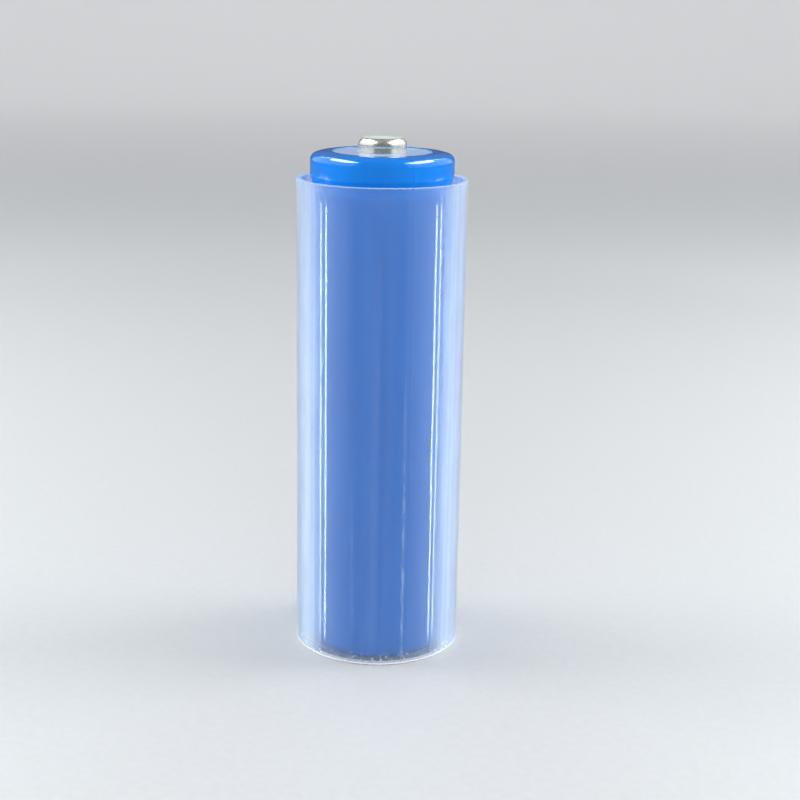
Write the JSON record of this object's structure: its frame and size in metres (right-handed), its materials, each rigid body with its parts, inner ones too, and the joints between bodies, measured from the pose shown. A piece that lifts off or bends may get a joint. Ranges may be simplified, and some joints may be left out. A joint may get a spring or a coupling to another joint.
{
  "type": "cylindrical battery cell",
  "caption": "Blue shrink-wrapped cylindrical lithium-ion cell with a raised nickel button and white washer, standing in a loose translucent plastic sleeve.",
  "frame": {"origin": "on the axis, in the plane that the cell and the sleeve stand on", "axes": "+Z along the axis, from the negative can base to the positive button"},
  "size_m": [0.022, 0.022, 0.0678],
  "materials": {
    "sleeve_plastic": "translucent milky extruded plastic with cut ends",
    "wrap_film": "glossy blue heat-shrink film",
    "washer_paper": "smooth white insulating paper",
    "button_nickel": "bright nickel plate",
    "can_nickel": "drawn nickel-plated steel",
    "cap_steel": "pressed nickel-plated steel",
    "ptc_polymer": "carbon-filled polymer between nickel foils",
    "vent_aluminium": "stamped and scored aluminium",
    "cid_aluminium": "stamped and pierced aluminium",
    "cid_plastic": "moulded natural polypropylene",
    "gasket_plastic": "moulded polypropylene",
    "insulator_film": "die-cut fibre and film disc",
    "cathode_coating": "black oxide coating on aluminium foil",
    "anode_coating": "graphite coating on copper foil",
    "separator_film": "white microporous film",
    "roll_tape_film": "green polyester tape",
    "pin_steel": "rolled stainless tube",
    "tab_aluminium": "rolled aluminium strip",
    "tab_nickel": "rolled nickel strip"
  },
  "bodies": {
    "cell": {"steel_can": "can_nickel", "shrink_wrap": "wrap_film", "insulator_washer": "washer_paper", "positive_button": "button_nickel", "top_cap": "cap_steel", "ptc_ring": "ptc_polymer", "vent_disc": "vent_aluminium", "cid_insulator": "cid_plastic", "cid_disc": "cid_aluminium", "crimp_gasket": "gasket_plastic", "top_insulator": "insulator_film", "bottom_insulator": "insulator_film", "cathode_tab": "tab_aluminium", "anode_tab": "tab_nickel", "center_pin": "pin_steel", "cathode_sheet": "cathode_coating", "anode_sheet": "anode_coating", "inner_separator": "separator_film", "outer_separator": "separator_film", "roll_tape": "roll_tape_film"},
    "sleeve": {"outer_sleeve": "sleeve_plastic"}
  },
  "joints": [
    {"name": "sleeve_slide", "type": "slide", "parent": "cell", "child": "sleeve", "axis": [0, 0, 1], "range_m": [0, 0.07]}
  ]
}
